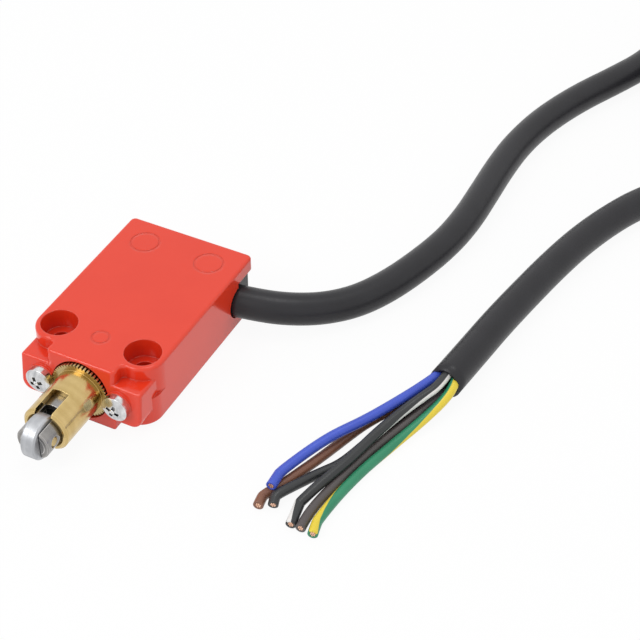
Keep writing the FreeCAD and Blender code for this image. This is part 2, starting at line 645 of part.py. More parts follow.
def tube(points, radius, name):
    """Round cord along straight runs joined by tangent arcs."""
    stations = [V(*point) for point in points]
    edges = []
    start = stations[0]
    smallest = float("inf")
    for before, corner, after in zip(stations, stations[1:], stations[2:]):
        way_in = corner - before
        way_out = after - corner
        trim = 0.45 * min(way_in.Length, way_out.Length)
        half_turn = way_in.getAngle(way_out) / 2
        way_in.normalize()
        way_out.normalize()
        bend_r = trim / math.tan(half_turn)
        smallest = min(smallest, bend_r)
        inward = way_out - way_in
        inward.normalize()
        first = corner - way_in * trim
        last = corner + way_out * trim
        middle = corner + inward * (bend_r / math.cos(half_turn) - bend_r)
        edges += [line(start, first), Part.Arc(first, middle, last).toShape()]
        start = last
    edges.append(line(start, stations[-1]))
    path = Part.Wire(edges)
    section = Part.Wire(Part.makeCircle(radius, stations[0], stations[1] - stations[0]))
    cord = path.makePipeShell([section], True, False)
    expected = math.pi * radius ** 2 * path.Length
    print("%s: length %.1f, smallest bend radius %.1f, volume ratio %.4f"
          % (name, path.Length, smallest, cord.Volume / expected))
    return cord


def make_cable_coil():
    """Outer shape of the put-away coil."""
    x, y = COIL_CENTRE
    top_z = TIE_THICK + COIL_HEIGHT
    ring = post(x, y, COIL_OUTER_R, TIE_THICK, top_z).cut(post(x, y, COIL_INNER_R, TIE_THICK, top_z))
    return ring.makeFillet(COIL_ROUND_R, edges_at_height(ring, TIE_THICK) + edges_at_height(ring, top_z))


def make_coil_room():
    """Upright cylinder round the coil, at which both leads end."""
    x, y = COIL_CENTRE
    return post(x, y, COIL_OUTER_R, -CABLE_R, TIE_THICK + COIL_HEIGHT + CABLE_R)


def outside(shape, other):
    """Largest piece of a shape that lies outside another."""
    return max(shape.cut(other).Solids, key=lambda solid: solid.Volume)


def make_cable_tie(coil):
    """Band round the coil's section."""
    x, y = COIL_CENTRE
    band = box((x + COIL_INNER_R - TIE_THICK, x + COIL_OUTER_R + TIE_THICK),
               (y - TIE_WIDTH / 2, y + TIE_WIDTH / 2), (0.0, COIL_HEIGHT + 2 * TIE_THICK))
    return band.cut(coil)


def make_conductor(name, sheath):
    """One insulated conductor from the sheath's end to its cut tip."""
    turn, points = CONDUCTORS[name]
    end = V(*LEAD_IN[-1])
    way = end - V(*LEAD_IN[-2])
    way.normalize()
    across = Z_AXIS.cross(way)
    across.normalize()
    angle = math.radians(turn)
    start = end + (across * math.cos(angle) + Z_AXIS * math.sin(angle)) * CORE_RING_R
    return outside(tube(((start.x, start.y, start.z),) + points, CORE_R, name), sheath)


def main():
    """Build every node and write it to its own file."""
    os.makedirs("parts", exist_ok=True)
    lead_out = tube(LEAD_OUT, CABLE_R, "cable_lead_out")
    lead_in = tube(LEAD_IN, CABLE_R, "cable_lead_in")
    coil = make_cable_coil()
    coil_room = make_coil_room()
    nodes = {
        "housing": make_housing(),
        "rear_cover": make_rear_cover(),
        "cover_seal": make_cover_seal(),
        "cover_screws": make_cover_screws(),
        "turret": make_turret(),
        "turret_seal": make_turret_seal(),
        "turret_screws": make_turret_screws(),
        "guide_pin": make_guide_pin(),
        "plunger": make_plunger(),
        "plunger_o_ring": make_plunger_o_ring(),
        "roller": make_roller(),
        "roller_axle": make_roller_axle(),
        "plunger_spring": make_spring(PLUNGER_SPRING_R, PLUNGER_WIRE_R, PLUNGER_SPRING_TURNS,
                                      PLUNGER_REAR_Y, SPRING_WALL_Y),
        "contact_base": make_contact_base(),
        "contact_carrier": make_contact_carrier(),
        "moving_contacts": make_moving_contacts(),
        "fixed_contacts": make_fixed_contacts(),
        "carrier_spring": make_spring(CARRIER_SPRING_R, CARRIER_WIRE_R, CARRIER_SPRING_TURNS,
                                      CARRIER_REAR_Y, CHANNEL_END_Y),
        "potting": make_potting(),
        "strain_relief": make_strain_relief(lead_out),
        "cable_lead_out": outside(lead_out, coil_room),
        "cable_coil": coil,
        "cable_lead_in": outside(lead_in, coil_room),
        "cable_tie": make_cable_tie(coil),
    }
    for name in CONDUCTORS:
        nodes[name] = make_conductor(name, lead_in)
    for name, shape in nodes.items():
        bounds = shape.BoundBox
        print("%-24s solids %d valid %s volume %.1f  X %.2f..%.2f Y %.2f..%.2f Z %.2f..%.2f" % (
            name, len(shape.Solids), shape.isValid(), shape.Volume, bounds.XMin, bounds.XMax,
            bounds.YMin, bounds.YMax, bounds.ZMin, bounds.ZMax))
        shape.exportStep("parts/%s.step" % name)


main()
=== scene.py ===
"""Roller limit switch with a loose cable: finishes, cords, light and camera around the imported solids."""

import logging
import math
from dataclasses import dataclass, field
from enum import Enum
from functools import cache

import bmesh
import bpy
from mathutils import Euler, Matrix, Vector
from mathutils.kdtree import KDTree


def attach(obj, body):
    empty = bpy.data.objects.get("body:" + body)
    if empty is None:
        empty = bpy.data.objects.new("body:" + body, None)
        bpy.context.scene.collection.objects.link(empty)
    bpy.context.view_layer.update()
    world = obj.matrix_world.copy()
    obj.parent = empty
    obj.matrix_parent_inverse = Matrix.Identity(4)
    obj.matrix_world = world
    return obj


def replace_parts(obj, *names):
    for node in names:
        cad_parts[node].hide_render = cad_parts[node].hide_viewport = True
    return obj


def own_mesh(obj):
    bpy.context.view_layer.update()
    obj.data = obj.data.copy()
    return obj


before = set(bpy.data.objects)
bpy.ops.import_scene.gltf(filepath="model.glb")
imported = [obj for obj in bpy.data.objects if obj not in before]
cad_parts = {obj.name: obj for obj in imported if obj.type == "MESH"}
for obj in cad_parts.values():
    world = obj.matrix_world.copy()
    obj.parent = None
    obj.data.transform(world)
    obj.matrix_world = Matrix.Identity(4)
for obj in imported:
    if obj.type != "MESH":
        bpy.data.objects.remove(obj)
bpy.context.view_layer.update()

LOG = logging.getLogger("limit_switch")
MM = 0.001
UP = Vector((0.0, 0.0, 1.0))
WHITE = (1.0, 1.0, 1.0)
LAY = "lay"

# Places on the solids, in millimetres; each ring has x, y and radius
AXIS_Z = 7.1
PIN_Y = -13.3
ROLLER_Y = -23.5
RING_PLACES = ((-7.9, 30.4, 3.1), (7.9, 30.4, 3.1), (0.0, 0.0, 1.8))

# Rays that each sample sends for rounded edges and gaps
EDGE_SAMPLES = 6

# Cosine from which a face counts as an end face
END_FACING = 0.9

Colour = tuple[float, float, float]
Point = tuple[float, float, float]
Shape = bmesh.types.BMesh
Node = bpy.types.Node
Socket = bpy.types.NodeSocket
Source = float | Socket
Sockets = dict[str, Socket]


def rgba(colour: Colour) -> tuple[float, float, float, float]:
    """Colour with full opacity."""
    return (*colour, 1.0)


def held(value: float) -> float:
    """The value, held between 0 and 1."""
    return min(1.0, max(0.0, value))


def facing(place: Point, target: Point) -> Euler:
    """Turn that points a lamp or camera from a place to a target."""
    return (Vector(target) - Vector(place)).to_track_quat("-Z", "Y").to_euler()


class Sheet:
    """Adds nodes to one node tree and joins them."""

    def __init__(self, tree: bpy.types.NodeTree) -> None:
        """Keep the tree that the nodes go into."""
        self.tree = tree

    def add(self, kind: str, **settings: object) -> Node:
        """Add a node.

        Args:
            kind: Blender's name of the node type.
            settings: Properties of the node to set.

        Returns:
            The new node.
        """
        node = self.tree.nodes.new(kind)
        for name, value in settings.items():
            setattr(node, name, value)
        return node

    def feed(self, socket: Socket, source: Source | tuple) -> None:
        """Join a socket to another, or give it a fixed value.

        Args:
            socket: The input.
            source: An output socket or a value.
        """
        if isinstance(source, Socket):
            self.tree.links.new(source, socket)
        else:
            socket.default_value = source

    def math(self, operation: str, *sources: Source) -> Socket:
        """Add a Math node.

        Args:
            operation: Name of the operation.
            sources: Values or sockets for its inputs in order.

        Returns:
            The result.
        """
        node = self.add("ShaderNodeMath", operation=operation)
        for socket, source in zip(node.inputs, sources):
            self.feed(socket, source)
        return node.outputs[0]

    def scaled(self, value: Source, factor: float) -> Socket:
        """A value times a factor."""
        return self.math("MULTIPLY", value, factor)

    def apart(self, value: Source, other: Source) -> Socket:
        """How far two values are from each other."""
        return self.math("ABSOLUTE", self.math("SUBTRACT", value, other))

    def vector(self, operation: str, first: Source | tuple, second: Source | tuple) -> Node:
        """Add a Vector Math node with two inputs.

        Args:
            operation: Name of the operation.
            first: Its first input.
            second: Its second input.

        Returns:
            The new node.
        """
        node = self.add("ShaderNodeVectorMath", operation=operation)
        self.feed(node.inputs[0], first)
        self.feed(node.inputs[1], second)
        return node

    def blend(self, share: Source, first: Source | tuple, second: Source | tuple) -> Socket:
        """Mix two colours.

        Args:
            share: Share of the second colour.
            first: Colour at share 0.
            second: Colour at share 1.

        Returns:
            The mixed colour.
        """
        node = self.add("ShaderNodeMix", data_type="RGBA", clamp_factor=True)
        self.feed(node.inputs["Factor"], share)
        for socket, source in zip([s for s in node.inputs if s.type == "RGBA"], (first, second)):
            self.feed(socket, source)
        return next(s for s in node.outputs if s.type == "RGBA")

    def span(self, value: Source, low: float, high: float, to_low: float, to_high: float,
             smooth: bool = False) -> Socket:
        """Map a value from one range to another, clamped.

        Args:
            value: What is mapped.
            low: Start of the first range.
            high: End of the first range.
            to_low: Result at the start.
            to_high: Result at the end.
            smooth: Whether the ramp eases in and out.

        Returns:
            The mapped value.
        """
        node = self.add("ShaderNodeMapRange", interpolation_type="SMOOTHSTEP" if smooth else "LINEAR")
        for socket, source in zip(node.inputs, (value, low, high, to_low, to_high)):
            self.feed(socket, source)
        return node.outputs[0]

    def noise(self, vector: Source, scale: Source, detail: float = 2.0) -> Socket:
        """Noise between 0 and 1 at a place.

        Args:
            vector: The place.
            scale: Bumps per unit of the place.
            detail: Octaves.

        Returns:
            The noise.
        """
        node = self.add("ShaderNodeTexNoise", noise_dimensions="3D")
        self.feed(node.inputs["Vector"], vector)
        self.feed(node.inputs["Scale"], scale)
        node.inputs["Detail"].default_value = detail
        return node.outputs["Fac"]

    def cloud(self, vector: Source, scale: Source) -> Socket:
        """Soft cloudy noise between 0 and 1 at a place."""
        return self.span(self.noise(vector, scale, 4.0), 0.3, 0.7, 0.0, 1.0, smooth=True)

    def mix(self, share: Source, first: Node, second: Node) -> Socket:
        """Mix two shaders.

        Args:
            share: Share of the second shader.
            first: Shader at share 0.
            second: Shader at share 1.

        Returns:
            The mixed shader.
        """
        node = self.add("ShaderNodeMixShader")
        for socket, source in zip(node.inputs, (share, first.outputs[0], second.outputs[0])):
            self.feed(socket, source)
        return node.outputs[0]

    def place(self) -> Socket:
        """The point in the object's own coordinates."""
        return self.add("ShaderNodeTexCoord").outputs["Object"]


class GroupInput(Enum):
    """Kinds of socket that the shared effects use."""

    VALUE = "NodeSocketFloat"
    VECTOR = "NodeSocketVector"


class SharedEffect:
    """A shader node group that is built once and placed in many materials."""

    made: dict[str, bpy.types.NodeTree] = {}

    @classmethod
    def tree(cls, name: str, inputs: dict[str, GroupInput],
             outputs: list[str]) -> tuple[Sheet, Sockets, Sockets]:
        """Start a group.

        Args:
            name: Name of the group.
            inputs: Names and kinds of its inputs.
            outputs: Names of its value outputs.

        Returns:
            A sheet on the group, its input sockets and its output sockets by name.
        """
        group = bpy.data.node_groups.new(name, "ShaderNodeTree")
        for title, kind in inputs.items():
            group.interface.new_socket(title, in_out="INPUT", socket_type=kind.value)
        for title in outputs:
            group.interface.new_socket(title, in_out="OUTPUT", socket_type=GroupInput.VALUE.value)
        sheet = Sheet(group)
        start = sheet.add("NodeGroupInput")
        end = sheet.add("NodeGroupOutput")
        cls.made[name] = group
        return sheet, {t: start.outputs[t] for t in inputs}, {t: end.inputs[t] for t in outputs}

    @classmethod
    def put(cls, sheet: Sheet, name: str, **values: Source | tuple) -> Node:
        """Place a shared effect in a material.

        Args:
            sheet: The material's sheet.
            name: Name of the effect.
            values: Values for its inputs, with spaces written as underscores.

        Returns:
            The group node.
        """
        if name not in cls.made:
            BUILDERS[name]()
        node = sheet.add("ShaderNodeGroup", node_tree=cls.made[name])
        for title, value in values.items():
            sheet.feed(node.inputs[title.replace("_", " ")], value)
        return node


def build_grain() -> None:
    """Fine grain: a fine height, a coarse wave and a cloudy tone from the point's place."""
    scales = ("Fine Scale", "Wave Scale", "Cloud Scale")
    sheet, given, out = SharedEffect.tree(
        "grain", {scale: GroupInput.VALUE for scale in scales}, ["Fine", "Wave", "Cloud"])
    place = sheet.place()
    sheet.feed(out["Fine"], sheet.noise(place, given["Fine Scale"], 3.0))
    sheet.feed(out["Wave"], sheet.noise(place, given["Wave Scale"], 1.0))
    sheet.feed(out["Cloud"], sheet.cloud(place, given["Cloud Scale"]))


def build_turning() -> None:
    """Tool lines round an axis: rings on a barrel and circles on an end face."""
    wander_reach = 0.4 * MM
    streak_scale = 0.16
    sheet, given, out = SharedEffect.tree(
        "turning", {"Centre": GroupInput.VECTOR, "Axis": GroupInput.VECTOR, "Lines": GroupInput.VALUE,
                    "Wander": GroupInput.VALUE}, ["Line", "Streak", "Radius"])
    place = sheet.place()
    offset = sheet.vector("SUBTRACT", place, given["Centre"]).outputs[0]
    along = sheet.vector("DOT_PRODUCT", offset, given["Axis"]).outputs["Value"]
    axial = sheet.add("ShaderNodeVectorMath", operation="SCALE")
    sheet.feed(axial.inputs[0], given["Axis"])
    sheet.feed(axial.inputs["Scale"], along)
    radial = sheet.vector("SUBTRACT", offset, axial.outputs[0]).outputs[0]
    length = sheet.add("ShaderNodeVectorMath", operation="LENGTH")
    sheet.feed(length.inputs[0], radial)
    wander = sheet.noise(place, given["Wander"], 1.0)
    lines = sheet.add("ShaderNodeCombineXYZ")
    sheet.feed(lines.inputs[0], along)
    sheet.feed(lines.inputs[1], length.outputs["Value"])
    sheet.feed(lines.inputs[2], sheet.scaled(wander, wander_reach))
    fine = sheet.noise(lines.outputs[0], given["Lines"], 3.0)
    coarse = sheet.noise(lines.outputs[0], sheet.scaled(given["Lines"], streak_scale), 2.0)
    sheet.feed(out["Line"], fine)
    sheet.feed(out["Radius"], length.outputs["Value"])
    sheet.feed(out["Streak"], sheet.span(coarse, 0.32, 0.68, 0.0, 1.0))


def build_edge() -> None:
    """Mask that is bright along edges, from the difference between the true and a rounded normal."""
    sheet, given, out = SharedEffect.tree("edge", {"Reach": GroupInput.VALUE}, ["Mask"])
    rounded = sheet.add("ShaderNodeBevel", samples=EDGE_SAMPLES)
    sheet.feed(rounded.inputs["Radius"], given["Reach"])
    true = sheet.add("ShaderNodeNewGeometry").outputs["Normal"]
    same = sheet.vector("DOT_PRODUCT", rounded.outputs[0], true).outputs["Value"]
    sheet.feed(out["Mask"], sheet.span(same, 0.99, 0.8, 0.0, 1.0))


def build_cord_lay() -> None:
    """Angle round a cord and the length along it, with fine lines along its skin."""
    line_stretch = 6.0
    cloud_scale = 160.0
    sheet, given, out = SharedEffect.tree(
        "cord lay", {"Lines": GroupInput.VALUE}, ["Angle", "Along", "Line", "Cloud"])
    attribute = sheet.add("ShaderNodeAttribute", attribute_name=LAY)
    parts = sheet.add("ShaderNodeSeparateXYZ")
    sheet.feed(parts.inputs[0], attribute.outputs["Vector"])
    angle = sheet.math("ARCTAN2", parts.outputs[1], parts.outputs[0])
    sheet.feed(out["Angle"], angle)
    sheet.feed(out["Along"], parts.outputs[2])
    skin = sheet.add("ShaderNodeCombineXYZ")
    sheet.feed(skin.inputs[0], parts.outputs[0])
    sheet.feed(skin.inputs[1], parts.outputs[1])
    sheet.feed(skin.inputs[2], sheet.scaled(parts.outputs[2], line_stretch))
    sheet.feed(out["Line"], sheet.noise(skin.outputs[0], given["Lines"], 3.0))
    sheet.feed(out["Cloud"], sheet.cloud(sheet.place(), cloud_scale))


def build_painted_shade() -> None:
    """Mask for painted shade: bright in gaps and recesses, where little light reaches."""
    sheet, given, out = SharedEffect.tree("painted_shade", {"Reach": GroupInput.VALUE}, ["Mask"])
    opening = sheet.add("ShaderNodeAmbientOcclusion", samples=EDGE_SAMPLES, only_local=True)
    sheet.feed(opening.inputs["Distance"], given["Reach"])
    sheet.feed(out["Mask"], sheet.span(opening.outputs["AO"], 0.85, 0.3, 0.0, 1.0))


BUILDERS = {"grain": build_grain, "turning": build_turning, "edge": build_edge, "cord lay": build_cord_lay,
            "painted_shade": build_painted_shade}


@dataclass(frozen=True)
class Finish:
    """Common ground of every finish: one material with a Principled shader. Lengths are in millimetres."""

    name: str
    colour: Colour
    shade: Colour
    roughness: float

    def start(self) -> tuple[bpy.types.Material, Sheet, Node]:
        """Make the material.

        Returns:
            The material, a sheet on its nodes and its Principled shader.
        """
        material = bpy.data.materials.new(self.name)
        material.use_nodes = True
        material.diffuse_color = rgba(self.colour)
        shader = material.node_tree.nodes["Principled BSDF"]
        return material, Sheet(material.node_tree), shader

    def bump(self, sheet: Sheet, shader: Node, heights: list[tuple[Source, float]],
             round_edges: float = 0.0) -> None:
        """Stack bumps on the shader's normal.

        Args:
            sheet: The material's sheet.
            shader: The Principled shader.
            heights: Height sockets, each with its depth in millimetres.
            round_edges: Radius of the rounding shown on sharp edges, in millimetres.
        """
        normal = None
        if round_edges > 0.0:
            bevel = sheet.add("ShaderNodeBevel", samples=EDGE_SAMPLES)
            bevel.inputs["Radius"].default_value = round_edges * MM
            normal = bevel.outputs[0]
        for height, depth in heights:
            node = sheet.add("ShaderNodeBump")
            node.inputs["Strength"].default_value = 1.0
            node.inputs["Distance"].default_value = depth * MM
            sheet.feed(node.inputs["Height"], height)
            if normal is not None:
                sheet.feed(node.inputs["Normal"], normal)
            normal = node.outputs[0]
        if normal is not None:
            sheet.feed(shader.inputs["Normal"], normal)

    def vary_roughness(self, sheet: Sheet, shader: Node, pattern: Source, low: float, high: float) -> None:
        """Let the roughness follow a pattern.

        Args:
            sheet: The material's sheet.
            shader: The Principled shader.
            pattern: Noise between 0 and 1.
            low: Share of the roughness where the pattern is low.
            high: Share of the roughness where it is high.
        """
        rough = sheet.span(pattern, 0.3, 0.7, self.roughness * low, self.roughness * high)
        sheet.feed(shader.inputs["Roughness"], rough)

    def make(self) -> bpy.types.Material:
        """Build the material; each kind of finish has its own way."""
        raise NotImplementedError


@dataclass(frozen=True)
class GlossPaint(Finish):
    """Thick glossy enamel on a casting, with painted highlights along edges and painted shade in recesses."""

    cloud_share: float = 0.35
    wave_depth: float = 0.012
    peel_depth: float = 0.0012
    edge_round: float = 0.25
    # Painted highlight: a lighter paint colour along edges, where the gloss catches light.
    edge_highlight_colour: Colour = (0.86, 0.16, 0.11)
    edge_reach: float = 0.7
    edge_highlight_share: float = 0.2
    # Painted shade: a darker red in holes, notch corners and ring grooves.
    recess_shade_colour: Colour = (0.42, 0.012, 0.005)
    recess_shade_reach: float = 4.0
    recess_shade_share: float = 0.4
    rings: tuple[Point, ...] = ()
    ring_bottom: float = 0.1
    ring_half: float = 0.6
    ring_dip: float = 0.06
    refraction: float = 1.52

    def make(self) -> bpy.types.Material:
        """Build the paint.

        Returns:
            The material.
        """
        material, sheet, shader = self.start()
        grain = SharedEffect.put(sheet, "grain", Fine_Scale=2600.0, Wave_Scale=240.0, Cloud_Scale=90.0)
        edge = SharedEffect.put(sheet, "edge", Reach=self.edge_reach * MM)
        painted_shade = SharedEffect.put(sheet, "painted_shade", Reach=self.recess_shade_reach * MM)
        cloud = sheet.scaled(grain.outputs["Cloud"], self.cloud_share)
        tone_and_highlight = sheet.scaled(edge.outputs["Mask"], self.edge_highlight_share)
        recess_shaded = sheet.scaled(painted_shade.outputs["Mask"], self.recess_shade_share)
        tone = sheet.blend(cloud, rgba(self.colour), rgba(self.shade))
        # Painted highlight along the edges, then painted shade in the recesses.
        edge_highlighted = sheet.blend(tone_and_highlight, tone, rgba(self.edge_highlight_colour))
        sheet.feed(shader.inputs["Base Color"], sheet.blend(recess_shaded, edge_highlighted, rgba(self.recess_shade_colour)))
        self.vary_roughness(sheet, shader, grain.outputs["Fine"], 0.8, 1.25)
        shader.inputs["IOR"].default_value = self.refraction
        heights = [(grain.outputs["Wave"], self.wave_depth), (grain.outputs["Fine"], self.peel_depth)]
        heights += [(self.ring_height(sheet, *ring), self.ring_dip) for ring in self.rings]
        self.bump(sheet, shader, heights, self.edge_round)
        return material

    def ring_height(self, sheet: Sheet, x: float, y: float, radius: float) -> Socket:
        """Dip of the paint over a ring in the top face.

        Args:
            sheet: The material's sheet.
            x: The ring's middle, in millimetres.
            y: The ring's middle, in millimetres.
            radius: The ring's radius, in millimetres.

        Returns:
            Socket that is 0 on the ring and 1 away from it.
        """
        turning = SharedEffect.put(sheet, "turning", Centre=(x * MM, y * MM, 0.0), Axis=ToolWay.ALONG_Z.value)
        apart = sheet.apart(turning.outputs["Radius"], radius * MM)
        return sheet.span(apart, self.ring_bottom * MM, self.ring_half * MM, 0.0, 1.0, smooth=True)


class ToolWay(Enum):
    """Axis that the tool lines of a metal piece run round."""

    ALONG_X = (1.0, 0.0, 0.0)
    ALONG_Y = (0.0, 1.0, 0.0)
    ALONG_Z = (0.0, 0.0, 1.0)


@dataclass(frozen=True)
class TurnedMetal(Finish):
    """Turned, ground or plated metal with tool lines round an axis, painted highlights on edges and painted
    shade in gaps.
    """

    way: ToolWay = ToolWay.ALONG_Y
    centre: Point = (0.0, 0.0, AXIS_Z)
    lines: float = 9000.0
    line_depth: float = 0.0025
    streak_share: float = 0.35
    cloud_share: float = 0.4
    grain_depth: float = 0.0006
    edge_round: float = 0.12
    # Painted highlight along edges.
    edge_highlight_tone: float = 0.25
    edge_reach: float = 0.3
    edge_highlight_gain: float = 1.25
    # Painted highlight: a light line on a circle round the axis.
    ring_radius: float = 0.0
    ring_inner: float = 0.05
    ring_outer: float = 0.12
    rim_radius: float = 0.0
    rim_fade: float = 0.2
    rim_colour: Colour = (0.50, 0.38, 0.18)
    # Painted shade in gaps and recesses.
    painted_shade_reach: float = 1.2
    painted_shade_share: float = 0.6
    painted_shade_tone: float = 0.1

    def make(self) -> bpy.types.Material:
        """Build the metal.

        Returns:
            The material.
        """
        material, sheet, shader = self.start()
        turning = SharedEffect.put(sheet, "turning", Centre=tuple(c * MM for c in self.centre),
                                   Axis=self.way.value, Lines=self.lines, Wander=500.0)
        grain = SharedEffect.put(sheet, "grain", Fine_Scale=5200.0, Wave_Scale=700.0, Cloud_Scale=420.0)
        streak = sheet.scaled(turning.outputs["Streak"], self.streak_share)
        cloud = sheet.scaled(grain.outputs["Cloud"], self.cloud_share)
        tone = sheet.blend(sheet.math("ADD", streak, cloud), rgba(self.colour), rgba(self.shade))
        sheet.feed(shader.inputs["Base Color"], self.add_painted_light(sheet, turning, tone))
        shader.inputs["Metallic"].default_value = 1.0
        self.vary_roughness(sheet, shader, turning.outputs["Line"], 0.75, 1.3)
        heights = [(turning.outputs["Line"], self.line_depth), (grain.outputs["Fine"], self.grain_depth)]
        self.bump(sheet, shader, heights, self.edge_round)
        return material

    def add_painted_light(self, sheet: Sheet, turning: Node, tone: Socket) -> Socket:
        """Painted highlights along edges and on the optional ring, the optional rim colour, and painted shade
        in gaps.

        Args:
            sheet: The material's sheet.
            turning: The turning group node.
            tone: Colour of the plain metal.

        Returns:
            The colour with painted highlights and painted shade.
        """
        edge = SharedEffect.put(sheet, "edge", Reach=self.edge_reach * MM)
        painted_shade = SharedEffect.put(sheet, "painted_shade", Reach=self.painted_shade_reach * MM)
        radius = turning.outputs["Radius"]
        # Painted highlight colour for edges and ring, painted shade colour for gaps.
        bright = rgba(tuple(min(1.0, c * self.edge_highlight_gain) for c in self.colour))
        dark = rgba(tuple(c * self.painted_shade_tone for c in self.colour))
        tone_and_highlight = sheet.blend(sheet.scaled(edge.outputs["Mask"], self.edge_highlight_tone), tone, bright)
        if self.ring_radius > 0.0:
            apart = sheet.apart(radius, self.ring_radius * MM)
            ring = sheet.span(apart, self.ring_inner * MM, self.ring_outer * MM, 1.0, 0.0)
            tone_and_highlight = sheet.blend(ring, tone_and_highlight, bright)
        if self.rim_radius > 0.0:
            beyond = sheet.math("SUBTRACT", radius, self.rim_radius * MM)
            rim = sheet.span(beyond, 0.0, self.rim_fade * MM, 0.0, 1.0)
            tone_and_highlight = sheet.blend(rim, tone_and_highlight, rgba(self.rim_colour))
        return sheet.blend(sheet.scaled(painted_shade.outputs["Mask"], self.painted_shade_share), tone_and_highlight, dark)


@dataclass(frozen=True)
class Moulded(Finish):
    """Moulded plastic, rubber or resin with a fine surface grain."""

    grain_scale: float = 2200.0
    grain_depth: float = 0.004
    wave_depth: float = 0.006
    edge_round: float = 0.15

    def make(self) -> bpy.types.Material:
        """Build the moulding.

        Returns:
            The material.
        """
        material, sheet, shader = self.start()
        grain = SharedEffect.put(sheet, "grain", Fine_Scale=self.grain_scale, Wave_Scale=320.0,
                                 Cloud_Scale=260.0)
        tone = sheet.blend(grain.outputs["Cloud"], rgba(self.colour), rgba(self.shade))
        sheet.feed(shader.inputs["Base Color"], tone)
        self.vary_roughness(sheet, shader, grain.outputs["Fine"], 0.85, 1.15)
        heights = [(grain.outputs["Wave"], self.wave_depth), (grain.outputs["Fine"], self.grain_depth)]
        self.bump(sheet, shader, heights, self.edge_round)
        return material


@dataclass(frozen=True)
class Stripe:
    """Coloured line that winds round a conductor."""

    colour: Colour
    start_deg: float
    turn_deg_per_mm: float
    quicken: float
    half_deg: float
    ragged: float = 0.12
    fade_in: float = 0.04
    fade_out: float = 0.1


@dataclass(frozen=True)
class CordSkin(Finish):
    """Extruded skin of a cable or conductor, with an optional stripe."""

    stripe: Stripe | None = None
    specular: float = 0.5
    lines: float = 5.0
    line_depth: float = 0.012
    line_share: float = 0.4
    cloud_share: float = 0.6
    pit_scale: float = 1800.0
    pit_depth: float = 0.006

    def make(self) -> bpy.types.Material:
        """Build the skin.

        Returns:
            The material.
        """
        material, sheet, shader = self.start()
        lay = SharedEffect.put(sheet, "cord lay", Lines=self.lines)
        grain = SharedEffect.put(sheet, "grain", Fine_Scale=self.pit_scale, Wave_Scale=300.0,
                                 Cloud_Scale=200.0)
        tone_and_highlight = sheet.math("ADD", sheet.scaled(lay.outputs["Cloud"], self.cloud_share),
                          sheet.scaled(lay.outputs["Line"], self.line_share))
        tone = sheet.blend(tone_and_highlight, rgba(self.colour), rgba(self.shade))
        if self.stripe is not None:
            tone = sheet.blend(self.stripe_mask(sheet, lay), tone, rgba(self.stripe.colour))
        sheet.feed(shader.inputs["Base Color"], tone)
        self.vary_roughness(sheet, shader, grain.outputs["Fine"], 0.85, 1.15)
        shader.inputs["Specular IOR Level"].default_value = self.specular
        heights = [(lay.outputs["Line"], self.line_depth), (grain.outputs["Fine"], self.pit_depth)]
        self.bump(sheet, shader, heights)
        return material

    def stripe_mask(self, sheet: Sheet, lay: Node) -> Socket:
        """Mask of the stripe.

        Args:
            sheet: The material's sheet.
            lay: The cord lay group node.

        Returns:
            1 on the stripe and 0 beside it.
        """
        along = lay.outputs["Along"]
        turn = math.radians(self.stripe.turn_deg_per_mm) / MM
        quicken = math.radians(self.stripe.quicken) / MM ** 2
        pace = sheet.math("MULTIPLY_ADD", along, quicken, turn)
        centre = sheet.math("MULTIPLY_ADD", along, pace, math.radians(self.stripe.start_deg))
        ragged = sheet.scaled(lay.outputs["Line"], self.stripe.ragged)
        apart = sheet.math("WRAP", sheet.math("SUBTRACT", lay.outputs["Angle"], centre), math.pi, -math.pi)
        half = math.radians(self.stripe.half_deg)
        reach = sheet.math("ADD", sheet.math("ABSOLUTE", apart), ragged)
        inner = half - self.stripe.fade_in
        outer = half + self.stripe.fade_out
        return sheet.span(reach, inner, outer, 1.0, 0.0, smooth=True)


@dataclass(frozen=True)
class Backdrop(Finish):
    """Pale table top that looks white to the camera and keeps a soft shadow."""

    white_share: float = 0.93
    cloud_share: float = 0.2
    specular: float = 0.1

    def make(self) -> bpy.types.Material:
        """Build the table top.

        Returns:
            The material.
        """
        material, sheet, shader = self.start()
        grain = SharedEffect.put(sheet, "grain", Fine_Scale=500.0, Wave_Scale=60.0, Cloud_Scale=8.0)
        cloud = sheet.scaled(grain.outputs["Cloud"], self.cloud_share)
        sheet.feed(shader.inputs["Base Color"], sheet.blend(cloud, rgba(self.colour), rgba(self.shade)))
        shader.inputs["Roughness"].default_value = self.roughness
        shader.inputs["Specular IOR Level"].default_value = self.specular
        glow = sheet.add("ShaderNodeEmission")
        glow.inputs["Color"].default_value = rgba(WHITE)
        share = sheet.scaled(seen_directly(sheet), self.white_share)
        surface = material.node_tree.nodes["Material Output"].inputs["Surface"]
        sheet.feed(surface, sheet.mix(share, shader, glow))
        return material


def seen_directly(sheet: Sheet) -> Socket:
    """1 for rays from the camera, off a mirror or through glass, and 0 for lighting rays.

    Args:
        sheet: Sheet of the material or world.

    Returns:
        The share.
    """
    path = sheet.add("ShaderNodeLightPath")
    mirror = sheet.math("MAXIMUM", path.outputs["Is Glossy Ray"], path.outputs["Is Transmission Ray"])
    return sheet.math("MAXIMUM", path.outputs["Is Camera Ray"], mirror)


# Every paint and metal finish below paints highlights on its edges and shade in its recesses, with its
# defaults or the values given.
RED_PAINT = GlossPaint("red_enamel", (0.77, 0.043, 0.014), (0.71, 0.034, 0.011), 0.13, rings=RING_PLACES)
